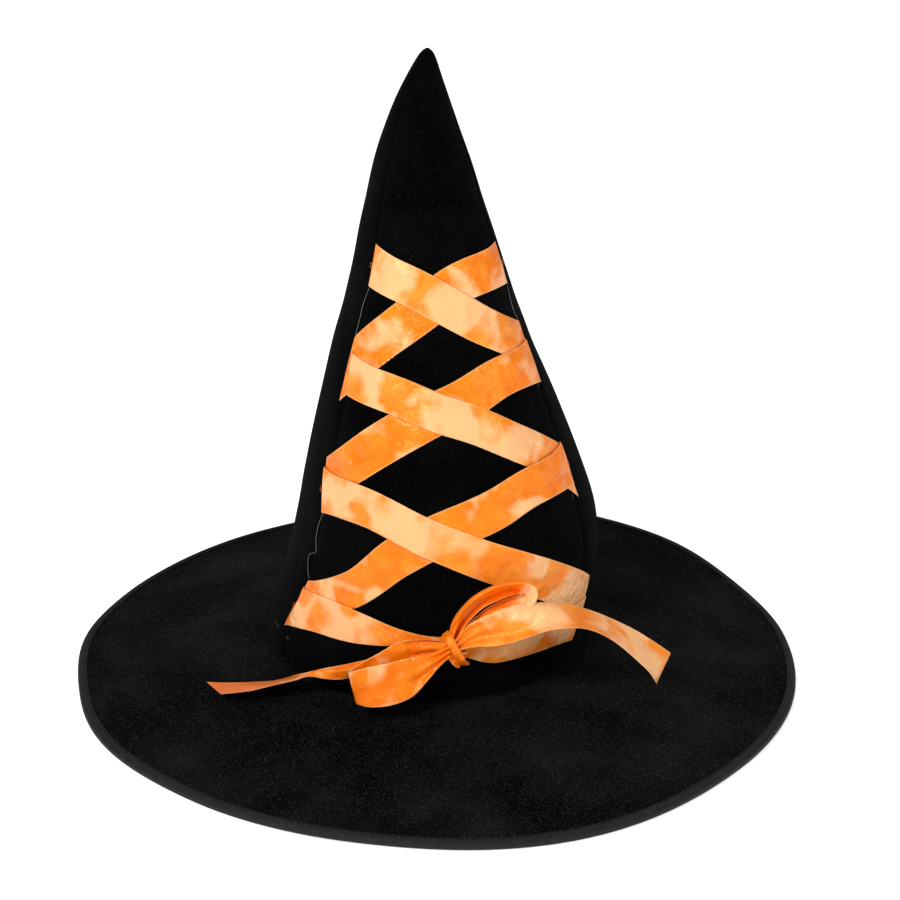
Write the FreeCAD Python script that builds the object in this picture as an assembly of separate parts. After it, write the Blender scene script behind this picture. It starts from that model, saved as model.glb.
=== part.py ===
import FreeCAD, Part
import math
import os

# Pointed costume hat with a wide round brim, laced and bowed with two satin ribbons.
# Millimetres. +Z is up, -Y is the front of the hat, where the bow is.
# The origin is at the middle of the brim's outline, on the table that the hat stands on.

Vec = FreeCAD.Vector

# ---- driving dimensions ----------------------------------------------------------------
brim_radius = 207.5           # outside of the edge binding
crown_base_radius = 92.5      # outside of the crown where it is sewn to the brim
crown_height = 340.0          # from the brim seam to the blunt tip
seam_height = 18.0            # the brim seam above the table: the brim is a shallow dome
crown_base_shift = -6.0       # the crown is sewn on this far off the brim's middle, in X
tip_radius = 1.8              # the blunt tip

velour_thickness = 0.8
foam_thickness = 2.2
laminate = 2 * velour_thickness + foam_thickness      # the brim is faced on both sides
crown_wall = velour_thickness + foam_thickness        # the crown is faced outside only

binding_width = 5.5           # how far the binding laps over the brim
binding_cloth = 0.6
brim_flat_width = 12.0        # the level margin that the binding is sewn to
wire_radius = 0.7             # spring wire in the brim's edge
wire_clearance = 0.15
stitch_radius = 0.25

sweatband_height = 16.0
sweatband_thickness = 0.8
sweatband_drop = 1.5          # how far the band hangs below the brim seam
band_clearance = 0.25         # crown wall to sweatband, where they come closest
opening_clearance = 0.4       # brim hole to sweatband

left_seam_angle = -57.0       # side seams, in degrees round from the front (-Y) towards +X
right_seam_angle = 67.0
panel_split_x = -3.0          # the two seam planes meet on this line
seam_allowance_depth = 3.5    # the turned-in edges stand this far into the crown
seam_allowance_width = 7.0

ribbon_width = 22.0
ribbon_thickness = 0.4
under_lift = 0.5              # lower ribbon layer above the velour
over_lift = 1.5               # upper ribbon layer above the velour
bow_share = 0.106             # the bow's height, as a share of the crown's
bow_shift = 9.0               # the bow is this far right of the middle
bow_stand_off = 5.5           # knot's centre to the crown's base radius
tail_thickness = 0.6
thread_radius = 0.15
thread_lift = 2.4             # tack thread above the velour
thread_slack = 1.0            # how far a loose thread stands off between two tacks
tack_radius = 0.3
tack_length = 4.0

knot_size = Vec(13.0, 9.0, 16.0)

# ---- what follows from them ------------------------------------------------------------
sweatband_bottom = seam_height - sweatband_drop
edge_bottom = binding_cloth
edge_top = edge_bottom + laminate
laminate_radius = brim_radius - binding_cloth - 2 * (wire_radius + wire_clearance)
brim_flat_from = laminate_radius - brim_flat_width
knot_centre = Vec(bow_shift, -crown_base_radius - bow_stand_off, seam_height + bow_share * crown_height)

# How the soft crown leans and swells: share of its height, shift of its centre in X,
# share of its base radius.
crown_shape = [
    (0.00, crown_base_shift, 1.000),
    (0.06, -4.3, 0.993),
    (0.13, 1.0, 0.968),
    (0.22, 3.5, 0.919),
    (0.31, 2.5, 0.832),
    (0.42, -0.5, 0.718),
    (0.53, -3.5, 0.585),
    (0.63, -6.0, 0.467),
    (0.74, -7.5, 0.360),
    (0.82, -8.3, 0.284),
    (0.88, -8.5, 0.207),
    (0.93, -8.0, 0.142),
    (0.97, -7.0, 0.080),
    (1.00, -6.0, 0.0),
]

# How the brim falls away from the crown: share of the way out, share of its rise.
brim_shape = [
    (0.00, 1.00),
    (0.03, 1.00),
    (0.09, 1.07),
    (0.20, 0.96),
    (0.35, 0.76),
    (0.50, 0.54),
    (0.65, 0.34),
    (0.80, 0.16),
    (0.92, 0.04),
    (1.00, 0.00),
]


def export(name, shape):
    """Writes one node, and says if it isn't a sound closed solid."""
    sound = shape.isValid() and shape.Volume > 0 and all(s.isClosed() for s in shape.Shells)
    if not sound:
        print("UNSOUND", name)
    shape.exportStep("parts/" + name + ".step")


def between(table, share, column):
    """A smooth value from a table of rows, whose first column is the share."""
    last = len(table) - 1
    i = 0
    while i < last - 1 and table[i + 1][0] < share:
        i += 1

    def slope(k):
        low = max(k - 1, 0)
        high = min(k + 1, last)
        return (table[high][column] - table[low][column]) / (table[high][0] - table[low][0])

    step = table[i + 1][0] - table[i][0]
    u = (share - table[i][0]) / step
    rise = table[i][column] * (2 * u**3 - 3 * u**2 + 1) + table[i + 1][column] * (3 * u**2 - 2 * u**3)
    lean = slope(i) * (u**3 - 2 * u**2 + u) + slope(i + 1) * (u**3 - u**2)
    return rise + step * lean


def ring(radius, x, z):
    return Part.Wire([Part.makeCircle(radius, Vec(x, 0, z))])


# ---- crown -----------------------------------------------------------------------------
def crown_radius(share, inset):
    full = between(crown_shape, share, 2) * crown_base_radius
    return max(full, tip_radius) - inset


# The band is a true ring in a crown that leans, so its room is taken at the band's top.
band_top_share = (sweatband_height - sweatband_drop) / crown_height
band_lean = abs(between(crown_shape, band_top_share, 1) - crown_base_shift)
band_room = crown_radius(band_top_share, crown_wall) - band_lean
sweatband_radius = band_room - band_clearance - sweatband_thickness
hole_radius = sweatband_radius + sweatband_thickness + opening_clearance


def crown_solid(inset, levels=26):
    """The crown's outside, or a layer of it, as a solid down to the brim seam."""
    wires = []
    for k in range(levels + 1):
        share = k / levels
        radius = crown_radius(share, inset)
        if radius < tip_radius:
            break
        height = seam_height + crown_height * share
        wires.append(ring(radius, between(crown_shape, share, 1), height))
    return Part.makeLoft(wires, True, False)


def wedge(from_angle, to_angle):
    """The sector between two upright planes, wider and taller than the hat."""
    reach = 3 * brim_radius
    points = [Vec(panel_split_x, 0, -50)]
    steps = 4
    for k in range(steps + 1):
        angle = math.radians(from_angle + (to_angle - from_angle) * k / steps)
        points.append(Vec(reach * math.sin(angle), -reach * math.cos(angle), -50))
    face = Part.Face(Part.makePolygon(points + [points[0]]))
    return face.extrude(Vec(0, 0, crown_height + seam_height + 100))


def make_crown():
    outside = crown_solid(0.0)
    backing = crown_solid(velour_thickness)
    hollow = crown_solid(crown_wall)
    velour = outside.cut(backing)
    foam = backing.cut(hollow)
    front = wedge(left_seam_angle, right_seam_angle)
    for name, layer in (("velour", velour), ("foam", foam)):
        export("crown_front_" + name, layer.common(front))
        export("crown_back_" + name, layer.cut(front))
    # The panels' edges are sewn and turned in, so a thick ridge runs up inside each seam.
    core = crown_solid(crown_wall + seam_allowance_depth, 20)
    lowest = sweatband_bottom + sweatband_height + 2.0
    keep = Part.makeBox(400, 400, 400, Vec(-200, -200, lowest))
    ridge = hollow.cut(core).common(keep)
    for name, angle in (("left", left_seam_angle), ("right", right_seam_angle)):
        away = math.radians(angle)
        strip = Part.makeBox(200, seam_allowance_width, 330, Vec(0, -seam_allowance_width / 2, 0))
        strip.rotate(Vec(0, 0, 0), Vec(0, 0, 1), angle - 90)
        strip.translate(Vec(panel_split_x, 0, 0) + Vec(math.sin(away), -math.cos(away), 0) * 8)
        export("crown_seam_" + name, ridge.common(strip))


# ---- brim ------------------------------------------------------------------------------
def brim_levels():
    """(radius, centre x, top height) of the brim's top, from its hole out to its edge."""
    rise = seam_height - edge_top
    rows = [(hole_radius, crown_base_shift, seam_height)]
    for share, height in brim_shape:
        radius = crown_base_radius + (brim_flat_from - crown_base_radius) * share
        rows.append((radius, crown_base_shift * (1 - share), edge_top + rise * height))
    rows.append((laminate_radius, 0.0, edge_top))
    return rows


def above_brim(x, y, lift):
    """A point over the brim, a height above its top face."""
    out = (math.hypot(x - crown_base_shift / 2, y) - crown_base_radius) / (brim_flat_from - crown_base_radius)
    rise = (seam_height - edge_top) * between(brim_shape, min(out, 1.0), 1)
    return Vec(x, y, edge_top + rise + lift)


def brim_layer(top_depth, bottom_depth):
    """One cloth or foam layer of the brim, between two depths under its top face."""
    rows = brim_levels()
    upper = [ring(r, x, z - top_depth) for r, x, z in rows]
    lower = [ring(r, x, z - bottom_depth) for r, x, z in reversed(rows)]
    wires = upper + lower
    return solid_ring(wires)


def sewn_solid(faces):
    """A solid from faces that close on each other."""
    shell = Part.makeShell(faces)
    shell.sewShape()
    solid = Part.Solid(Part.Shell(shell.Faces))
    if solid.Volume < 0:
        solid.reverse()
    return solid


def solid_ring(wires):
    """A closed ring through circles that go once round its cross-section."""
    faces = []
    for a, b in zip(wires, wires[1:] + wires[:1]):
        faces.append(Part.makeRuledSurface(a.Edges[0], b.Edges[0]))
    return sewn_solid(faces)


def make_brim():
    export("brim_top_velour", brim_layer(0.0, velour_thickness))
    export("brim_foam", brim_layer(velour_thickness, velour_thickness + foam_thickness))
    export("brim_under_velour", brim_layer(velour_thickness + foam_thickness, laminate))

    wire_path = laminate_radius + wire_clearance + wire_radius
    middle = edge_bottom + laminate / 2
    export("brim_wire", Part.makeTorus(wire_path, wire_radius, Vec(0, 0, middle)))

    # The binding is a bias strip folded over the edge: a flat flap on each face.
    inner = brim_radius - binding_width
    top = edge_top + binding_cloth
    profile = [
        (inner, top), (brim_radius, top), (brim_radius, 0.0), (inner, 0.0),
        (inner, edge_bottom), (brim_radius - binding_cloth, edge_bottom),
        (brim_radius - binding_cloth, edge_top), (inner, edge_top),
    ]
    corners = [Vec(r, 0, z) for r, z in profile]
    section = Part.Face(Part.makePolygon(corners + [corners[0]]))
    export("brim_binding", section.revolve(Vec(0, 0, 0), Vec(0, 0, 1), 360))
    stitch_path = inner + 1.5
    export("binding_stitching", Part.makeTorus(stitch_path, stitch_radius, Vec(0, 0, top + stitch_radius)))

    middle_of_band = Vec(crown_base_shift, 0, sweatband_bottom)
    tube = Part.makeCylinder(sweatband_radius + sweatband_thickness, sweatband_height, middle_of_band)
    bore = Part.makeCylinder(sweatband_radius, sweatband_height, middle_of_band)
    export("sweatband", tube.cut(bore))
    # One row of lockstitch joins crown, brim and band, between the band and the foam.
    seam_path = sweatband_radius + sweatband_thickness + opening_clearance + stitch_radius
    seam_stitch = Part.makeTorus(seam_path, stitch_radius, Vec(crown_base_shift, 0, seam_height + 1.0))
    export("seam_stitching", seam_stitch)


# ---- lacing ----------------------------------------------------------------------------
def on_crown(angle, share, lift):
    """A point above the velour, at an angle round from the front and a share of the height."""
    step = 0.002
    radius = crown_radius(share, 0.0)
    grow = (crown_radius(share + step, 0.0) - crown_radius(share - step, 0.0)) / (2 * step * crown_height)
    steep = math.hypot(1.0, grow)
    out = radius + lift / steep
    turn = math.radians(angle)
    centre = between(crown_shape, share, 1)
    height = seam_height + share * crown_height - lift * grow / steep
    return Vec(centre + out * math.sin(turn), -out * math.cos(turn), height)


def lace(start, middle, end, lift):
    """A ribbon stretch on the crown through three (angle, share of height) points."""
    long_steps = 14
    wide_steps = 4
    up = 1.0 / crown_height

    def centre(s):
        first = 2 * (s - 0.5) * (s - 1)
        second = 4 * s * (1 - s)
        third = 2 * s * (s - 0.5)
        return [start[k] * first + middle[k] * second + end[k] * third for k in (0, 1)]

    def face_at(height_above):
        rows = []
        for i in range(long_steps + 1):
            s = i / long_steps
            angle, share = centre(s)
            ahead = centre(s + 0.01)
            here = on_crown(angle, share, 0)
            along = (on_crown(ahead[0], ahead[1], 0) - here).normalize()
            turned = on_crown(angle + 1, share, 0) - here
            raised = on_crown(angle, share + up, 0) - here
            # across the ribbon, square to its run, in degrees and millimetres up
            across_angle = -along.dot(raised) / turned.Length
            across_height = along.dot(turned) / turned.Length
            span = (turned * across_angle + raised * across_height).Length
            row = []
            for j in range(wide_steps + 1):
                offset = ribbon_width * (j / wide_steps - 0.5) / span
                beside = (angle + offset * across_angle, share + offset * across_height * up)
                row.append(on_crown(beside[0], beside[1], height_above))
            rows.append(row)
        surface = Part.BSplineSurface()
        surface.interpolate(rows)
        return surface.toShape()

    low = face_at(lift)
    high = face_at(lift + ribbon_thickness)
    sides = [Part.makeRuledSurface(a, b) for a, b in zip(low.Edges, high.Edges)]
    return sewn_solid([low, high] + sides)


# Each stretch: node, start, middle and end as (angle, share of the crown's height), and its
# layer. The ribbons are named for the side on which they start at the top.
laces = [
    ("left_ribbon_1", (-51, 0.676), (10, 0.630), (68, 0.541), over_lift),
    ("right_ribbon_1", (68, 0.662), (10, 0.635), (-51, 0.535), under_lift),
    ("right_ribbon_2", (-55, 0.494), (5, 0.465), (66, 0.344), over_lift),
    ("left_ribbon_2", (68, 0.506), (5, 0.471), (-55, 0.329), under_lift),
    ("left_ribbon_3", (-57, 0.306), (0, 0.265), (64, 0.126), over_lift),
    ("right_ribbon_3", (66, 0.329), (0, 0.279), (-57, 0.126), under_lift),
    ("right_ribbon_4", (-59, 0.103), (-28, 0.112), (-7, bow_share), over_lift),
    ("left_ribbon_4", (66, 0.112), (40, 0.106), (16, bow_share), under_lift),
]
left_tack_shares = (0.674, 0.515, 0.318, 0.115)
right_tack_shares = (0.662, 0.524, 0.335, 0.121)
tack_inset = 4.0              # degrees from a side seam to its tacks


def make_lacing():
    for name, start, middle, end, lift in laces:
        export(name, lace(start, middle, end, lift))
    # Tacks hold the folds to the side seams, and loose thread runs from tack to tack.
    half = tack_length / 2 / crown_height
    for side, angle, shares in (
        ("left", left_seam_angle + tack_inset, left_tack_shares),
        ("right", right_seam_angle - tack_inset, right_tack_shares),
    ):
        tacks = []
        floats = []
        for share in shares:
            low = on_crown(angle, share - half, thread_lift)
            high = on_crown(angle, share + half, thread_lift)
            tacks.append(Part.makeCylinder(tack_radius, (high - low).Length, low, high - low))
        for upper, lower in zip(shares, shares[1:]):
            floats.append(loose_thread(angle, upper - 1.3 * half, lower + 1.3 * half))
        export(side + "_tacks", Part.makeCompound(tacks))
        export(side + "_tack_thread", Part.makeCompound(floats))


def loose_thread(angle, top, bottom, points=6):
    """A thread that hangs a little off the crown between two shares of its height."""
    rows = []
    for k in range(points):
        share = k / (points - 1)
        slack = thread_slack * math.sin(math.pi * share)
        centre = on_crown(angle, top + (bottom - top) * share, thread_lift + slack)
        rows.append((centre, Vec(thread_radius, 0, 0)))
    return strap(rows, 2 * thread_radius)


# ---- bow -------------------------------------------------------------------------------
def strap(rows, thickness):
    """A ribbon through rows of (centre, half of its width as a vector)."""
    wires = []
    for k, (centre, half) in enumerate(rows):
        behind = rows[max(k - 1, 0)][0]
        ahead = rows[min(k + 1, len(rows) - 1)][0]
        normal = (ahead - behind).cross(half).normalize() * (thickness / 2)
        corners = [centre - half - normal, centre + half - normal,
                   centre + half + normal, centre - half + normal]
        wires.append(Part.makePolygon(corners + [corners[0]]))
    return Part.makeLoft(wires, True, True)


def petal(points, front, back):
    """A flattened bow loop: an outline in X and Z from the knot, and its depths in front of it."""
    curve = Part.BSplineCurve()
    curve.interpolate([knot_centre + Vec(x, -front, z) for x, z in points], True)
    face = Part.Face(Part.Wire([curve.toShape()]))
    return face.extrude(Vec(0, front - back, 0))


def make_bow():
    ball = Part.makeSphere(0.5)
    stretch = FreeCAD.Matrix()
    stretch.scale(knot_size.x, knot_size.y, knot_size.z)
    stretch.move(knot_centre)
    export("bow_knot", ball.transformGeometry(stretch))

    left_loop = [(-10, -1), (-27, 5), (-42, 4), (-56, -5), (-54, -20), (-40, -27), (-25, -21), (-13, -9)]
    export("bow_left_loop", petal(left_loop, 20.0, 6.0))
    right_loop = [(8, 9), (10, 26), (19, 35), (29, 38), (39, 35), (40, 27), (27, 21), (17, 14)]
    export("bow_right_loop", petal(right_loop, -0.5, -6.5))

    # Each tail: the gathered end by the knot, then on over the brim.
    near = knot_centre
    reach = knot_centre.y + 18.0
    left_tail = [
        (near + Vec(-9, 0.5, -4), Vec(0, 3.0, 0)),
        (near + Vec(-35, 1.0, -7), Vec(0, 3.5, 0)),
        (near + Vec(-61, 7.0, -13), Vec(0, 7.0, 0)),
        (above_brim(-78, reach - 5, 12.6), Vec(0, 10.5, -1)),
        (above_brim(-103, reach - 2, 8.5), Vec(0, 10.8, -2)),
        (above_brim(-128, reach, 8.3), Vec(0, 10.8, -2)),
    ]
    export("bow_left_tail", strap(left_tail, tail_thickness))
    right_tail = [
        (near + Vec(8, -3, 4), Vec(0, -1.5, -3.5)),
        (near + Vec(22, -6, 12), Vec(0, -4, -7.5)),
        (near + Vec(39, -7, 18.5), Vec(0, -5, -7)),
        (near + Vec(53, -6, 21.5), Vec(0, -7, -4.5)),
        (near + Vec(69, -1, 19.5), Vec(-0.5, -10, -1)),
        (near + Vec(83, 5, 13.5), Vec(-2, -10.7, 0)),
        (near + Vec(98, 11, 2.5), Vec(-3.9, -10.3, 0.5)),
        (above_brim(124, reach - 2, 24.8), Vec(-5, -9.6, 1)),
    ]
    export("bow_right_tail", strap(right_tail, tail_thickness))


os.makedirs("parts", exist_ok=True)
make_crown()
make_brim()
make_lacing()
make_bow()
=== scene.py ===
import math

import bpy
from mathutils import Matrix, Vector, noise


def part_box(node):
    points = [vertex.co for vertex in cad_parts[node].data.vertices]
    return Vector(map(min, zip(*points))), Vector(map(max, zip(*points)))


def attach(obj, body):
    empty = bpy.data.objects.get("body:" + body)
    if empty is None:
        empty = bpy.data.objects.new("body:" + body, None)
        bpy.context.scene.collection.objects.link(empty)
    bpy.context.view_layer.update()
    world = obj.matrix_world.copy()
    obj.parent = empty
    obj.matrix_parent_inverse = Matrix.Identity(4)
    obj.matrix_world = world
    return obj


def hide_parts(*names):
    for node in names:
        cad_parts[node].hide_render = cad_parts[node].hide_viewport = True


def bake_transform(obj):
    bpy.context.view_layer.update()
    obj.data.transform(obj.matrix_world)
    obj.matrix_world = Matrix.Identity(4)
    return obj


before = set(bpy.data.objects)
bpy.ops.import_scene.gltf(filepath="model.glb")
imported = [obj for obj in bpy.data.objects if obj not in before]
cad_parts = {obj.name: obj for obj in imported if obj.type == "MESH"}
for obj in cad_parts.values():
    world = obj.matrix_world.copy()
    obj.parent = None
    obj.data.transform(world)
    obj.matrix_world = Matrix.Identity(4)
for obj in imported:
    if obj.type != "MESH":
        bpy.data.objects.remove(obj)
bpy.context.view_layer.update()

# ---- Camera -----------------------------------------------------------------------------
# A little over a metre in front of the hat and half a metre above it, looking down on the
# brim through a long lens.
bpy.ops.object.select_all(action="DESELECT")
bpy.ops.object.camera_add(location=(0.0062, -1.1869, 0.6407), rotation=(math.radians(66.66), 0, 0))
camera = bpy.context.object
camera.data.lens = 91.86
bpy.context.scene.camera = camera


# ---- White table and studio light -------------------------------------------------------
# A sheet of white paper big enough to fill the view, a wide soft box above the front left,
# and two weaker ones that open the shadows on the right and behind.
def new_material(name, values):
    """A material with these values on its shader."""
    material = bpy.data.materials.new(name)
    material.use_nodes = True
    shader = material.node_tree.nodes["Principled BSDF"]
    for socket, value in values.items():
        shader.inputs[socket].default_value = value
    return material


bpy.ops.mesh.primitive_plane_add(size=14, location=(0, 3, 0))
floor = bpy.context.object
floor.name = "floor"
floor.data.materials.append(new_material("white_paper", {
    "Base Color": (0.86, 0.86, 0.86, 1),
    "Roughness": 0.9,
    "Emission Color": (1, 1, 1, 1),
    "Emission Strength": 0.62,
}))

for place, aim, size, power in (
    ((-0.75, -1.25, 1.35), (0, 0, 0.14), 0.60, 25.0),
    ((1.30, -0.90, 0.80), (0, 0, 0.12), 0.50, 6.0),
    ((0.10, 1.10, 1.70), (0, 0, 0.10), 1.20, 9.0),
):
    bpy.ops.object.light_add(type="AREA", location=place)
    light = bpy.context.object
    light.data.size = size
    light.data.energy = power
    light.rotation_euler = (Vector(aim) - Vector(place)).to_track_quat("-Z", "Y").to_euler()

world = bpy.data.worlds.new("studio")
world.use_nodes = True
world.node_tree.nodes["Background"].inputs["Color"].default_value = (1, 1, 1, 1)
world.node_tree.nodes["Background"].inputs["Strength"].default_value = 0.24
bpy.context.scene.world = world
bpy.context.scene.view_settings.view_transform = "Standard"


# ---- Velour crown, front and back -------------------------------------------------------
# Two panels of black stretch velour, 0.8 mm thick, laminated to foam and sewn together down
# two side seams that run from the brim to the tip and turn a little to the right on the way.
mm = 0.001
seam_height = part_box("crown_back_velour")[0][2] / mm
tip_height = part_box("crown_back_velour")[1][2] / mm
crown_height = tip_height - seam_height
velour = 0.8
sides = 180                   # steps round the crown
seam_turn = 23.0              # degrees that the side seams turn by, from brim to tip
left_seam_angle = -63.0       # at the brim, from the front towards the right
right_seam_angle = 59.0

# The crown leans and narrows unevenly: share of its height, middle in X, radius
crown_profile = (
    (0.000, -8.3, 91.3),
    (0.069, -3.1, 90.8),
    (0.130, 1.6, 89.2),
    (0.220, 4.2, 85.0),
    (0.313, 2.6, 76.8),
    (0.420, -0.5, 66.4),
    (0.526, -3.6, 54.5),
    (0.634, -5.7, 43.0),
    (0.741, -7.3, 33.2),
    (0.817, -8.3, 26.5),
    (0.878, -8.8, 19.7),
    (0.924, -8.3, 14.0),
    (0.960, -7.3, 8.8),
    (0.985, -6.2, 5.0),
    (0.995, -5.8, 2.7),
    (1.000, -5.7, 0.3),
)


def between(table, share, column):
    """A smooth value from a table of rows, whose first column is the share."""
    last = len(table) - 1
    i = 0
    while i < last - 1 and table[i + 1][0] < share:
        i += 1

    def slope(k):
        low = max(k - 1, 0)
        high = min(k + 1, last)
        return (table[high][column] - table[low][column]) / (table[high][0] - table[low][0])

    step = table[i + 1][0] - table[i][0]
    u = (share - table[i][0]) / step
    rise = table[i][column] * (2 * u**3 - 3 * u**2 + 1)
    rise += table[i + 1][column] * (3 * u**2 - 2 * u**3)
    lean = slope(i) * (u**3 - 2 * u**2 + u) + slope(i + 1) * (u**3 - u**2)
    return rise + step * lean


def crown_point(angle, height, lift=0.0):
    """A point of the crown, or a height above it, at an angle round from the front."""
    share = (height - seam_height) / crown_height
    turn = math.radians(angle)
    radius = between(crown_profile, share, 2)
    lower = between(crown_profile, share - 0.004, 2)
    upper = between(crown_profile, share + 0.004, 2)
    steep = (lower - upper) / (0.008 * crown_height)
    flat = Vector((math.sin(turn), -math.cos(turn), 0))
    outward = (flat + Vector((0, 0, steep))).normalized()
    point = Vector((between(crown_profile, share, 1), 0, height)) + flat * radius
    # The foam is soft, and a hat that was packed flat keeps shallow hollows
    hollow = 1.1 * noise.noise(point / 52) + 0.5 * noise.noise(point / 21)
    hollow *= min(1.0, radius / 40)
    return point + outward * (hollow + lift)


def name_piece(piece, name):
    """Names a piece and its mesh."""
    piece.name = name
    piece.data.name = name


def shell(name, rings, count):
    """A skin of revolution: a circle, extruded and scaled from ring to ring (radius, X, Z)."""
    bpy.ops.object.select_all(action="DESELECT")
    radius, middle, height = rings[0]
    bpy.ops.mesh.primitive_circle_add(
        vertices=count, radius=radius * mm, location=(middle * mm, 0, height * mm),
    )
    skin = bpy.context.object
    name_piece(skin, name)
    bpy.ops.object.transform_apply(location=True, rotation=True, scale=True)
    bpy.ops.object.mode_set(mode="EDIT")
    bpy.ops.mesh.select_all(action="SELECT")
    for before, after in zip(rings, rings[1:]):
        step = ((after[1] - before[1]) * mm, 0, (after[2] - before[2]) * mm)
        bpy.ops.mesh.extrude_region_move(TRANSFORM_OT_translate={"value": step})
        size = after[0] / before[0]
        centre = (after[1] * mm, 0, after[2] * mm)
        bpy.ops.transform.resize(value=(size, size, 1), center_override=centre)
    bpy.ops.object.mode_set(mode="OBJECT")
    return skin


def reshape(piece, place):
    """Moves each vertex, in millimetres, to where the function says."""
    for vertex in piece.data.vertices:
        vertex.co = place(vertex.co / mm) * mm
    piece.data.update()


def pick(piece):
    """Selects this piece alone and makes it the active one."""
    bpy.ops.object.select_all(action="DESELECT")
    bpy.context.view_layer.objects.active = piece
    piece.select_set(True)


def face_outwards(piece, inside=False):
    """Turns every face of the piece the same way."""
    pick(piece)
    bpy.ops.object.mode_set(mode="EDIT")
    bpy.ops.mesh.select_all(action="SELECT")
    bpy.ops.mesh.normals_make_consistent(inside=inside)
    bpy.ops.object.mode_set(mode="OBJECT")


def thicken(piece, thickness, offset=-1.0, levels=1):
    """Gives a skin its thickness, in millimetres, then rounds it."""
    pick(piece)
    wall = piece.modifiers.new("wall", "SOLIDIFY")
    wall.thickness = thickness * mm
    wall.offset = offset
    bpy.ops.object.modifier_apply(modifier=wall.name)
    if levels:
        round_off = piece.modifiers.new("round_off", "SUBSURF")
        round_off.levels = levels
        round_off.render_levels = levels
        bpy.ops.object.modifier_apply(modifier=round_off.name)
    bpy.ops.object.shade_smooth()


def copy_of(piece, name):
    """A copy of the piece with its own mesh."""
    other = piece.copy()
    other.data = piece.data.copy()
    name_piece(other, name)
    bpy.context.collection.objects.link(other)
    return other


def keep_faces(piece, wanted):
    """Deletes the faces that the test turns down."""
    pick(piece)
    bpy.ops.object.mode_set(mode="EDIT")
    bpy.ops.mesh.select_mode(type="FACE")
    bpy.ops.object.mode_set(mode="OBJECT")
    for face in piece.data.polygons:
        face.select = not wanted(face)
    bpy.ops.object.mode_set(mode="EDIT")
    bpy.ops.mesh.delete(type="FACE")
    bpy.ops.mesh.select_mode(type="VERT")
    bpy.ops.object.mode_set(mode="OBJECT")


# The skin is a stack of circles, closer together at the tip
crown_shares = [-0.004] + [0.94 * k / 42 for k in range(43)]
crown_shares += [0.952, 0.964, 0.975, 0.985, 0.991, 0.995, 0.998, 1.0]
crown_rings = []
for share in crown_shares:
    middle = between(crown_profile, share, 1)
    crown_rings.append((between(crown_profile, share, 2), middle, seam_height + share * crown_height))
crown = shell("crown", crown_rings, sides)


def crown_angle(point):
    """The angle of a skin point, as it would be at the brim, before the seams turn."""
    share = (point.z - seam_height) / crown_height
    middle = between(crown_profile, share, 1)
    return math.degrees(math.atan2(point.x - middle, -point.y))


seam_spacing = 360.0 / sides


def velour_place(point):
    """The crown's skin turns with the side seams, and sinks along them and at the brim."""
    share = (point.z - seam_height) / crown_height
    # The circles' vertices stand on even degrees, and the seams on odd ones
    plain = crown_angle(point) + seam_spacing / 2
    beside = min(abs(plain - left_seam_angle), abs(plain - right_seam_angle)) / seam_spacing
    radius = between(crown_profile, share, 2)
    sink = (-0.9, -0.2)[round(beside)] if beside < 1.5 else 0.0
    sink *= min(1.0, radius / 30)
    tuck = -1.2 if share < 0.001 else 0.0
    return crown_point(plain + seam_turn * share, point.z, sink + tuck)


front_faces = []
for face in crown.data.polygons:
    plain = crown_angle(face.center / mm) + seam_spacing / 2
    front_faces.append(left_seam_angle < plain < right_seam_angle)
reshape(crown, velour_place)
face_outwards(crown)
crown_lining = copy_of(crown, "crown_lining")
crown_front = copy_of(crown, "velour_crown_front")
crown_back = crown
name_piece(crown_back, "velour_crown_back")
keep_faces(crown_front, lambda face: front_faces[face.index])
keep_faces(crown_back, lambda face: not front_faces[face.index])


def add_node(tree, kind, values=None):
    """A shader node with these values on its sockets."""
    node = tree.nodes.new("ShaderNode" + kind)
    for socket, value in (values or {}).items():
        node.inputs[socket].default_value = value
    return node


def add_math(tree, operation, values=None):
    """A maths node."""
    node = add_node(tree, "Math", values)
    node.operation = operation
    return node


def add_colour_mix(tree, values=None):
    """A mix of two colours: sockets 6 and 7 take them, and output 2 gives the blend."""
    node = add_node(tree, "Mix", values)
    node.data_type = "RGBA"
    return node


def add_bump(material, height, strength, distance):
    """Lets a height stand out of the material's surface, by a distance in metres."""
    tree = material.node_tree
    bump = add_node(tree, "Bump", {"Strength": strength, "Distance": distance})
    tree.links.new(height, bump.inputs["Height"])
    tree.links.new(bump.outputs["Normal"], tree.nodes["Principled BSDF"].inputs["Normal"])


def new_group(name, sockets):
    """A node group with its sockets, and its nodes for what goes in and what comes out."""
    group = bpy.data.node_groups.new(name, "ShaderNodeTree")
    for socket, way, kind in sockets:
        group.interface.new_socket(name=socket, in_out=way, socket_type="NodeSocket" + kind)
    return group, group.nodes.new("NodeGroupInput"), group.nodes.new("NodeGroupOutput")


# The pile's colour: lighter patches of painted sheen where the nap is brushed, and bright specks of
# painted glints at the fibre ends
pile, given, result = new_group("velour_pile", (
    ("Dark", "INPUT", "Color"),
    ("Light", "INPUT", "Color"),
    ("Patch Size", "INPUT", "Float"),
    ("Speck", "INPUT", "Float"),
    ("Colour", "OUTPUT", "Color"),
    ("Height", "OUTPUT", "Float"),
))
where = add_node(pile, "TexCoord")
# Lighter patches of painted sheen
patches = add_node(pile, "TexNoise", {"Detail": 3, "Roughness": 0.6})
# Bright specks of painted glints, which also give the pile its bump
specks = add_node(pile, "TexNoise", {"Scale": 1000, "Detail": 2, "Roughness": 0.7})
fibres = add_node(pile, "TexVoronoi", {"Scale": 1500})
spread = add_node(pile, "MapRange", {"From Min": 0.42, "From Max": 0.72})
bright = add_node(pile, "MapRange", {"From Min": 0.54, "From Max": 0.70})
more = add_math(pile, "MULTIPLY")
faint = add_math(pile, "MULTIPLY", {1: 0.22})
total = add_math(pile, "ADD")
total.use_clamp = True
blend = add_colour_mix(pile)
relief = add_math(pile, "ADD")
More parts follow.
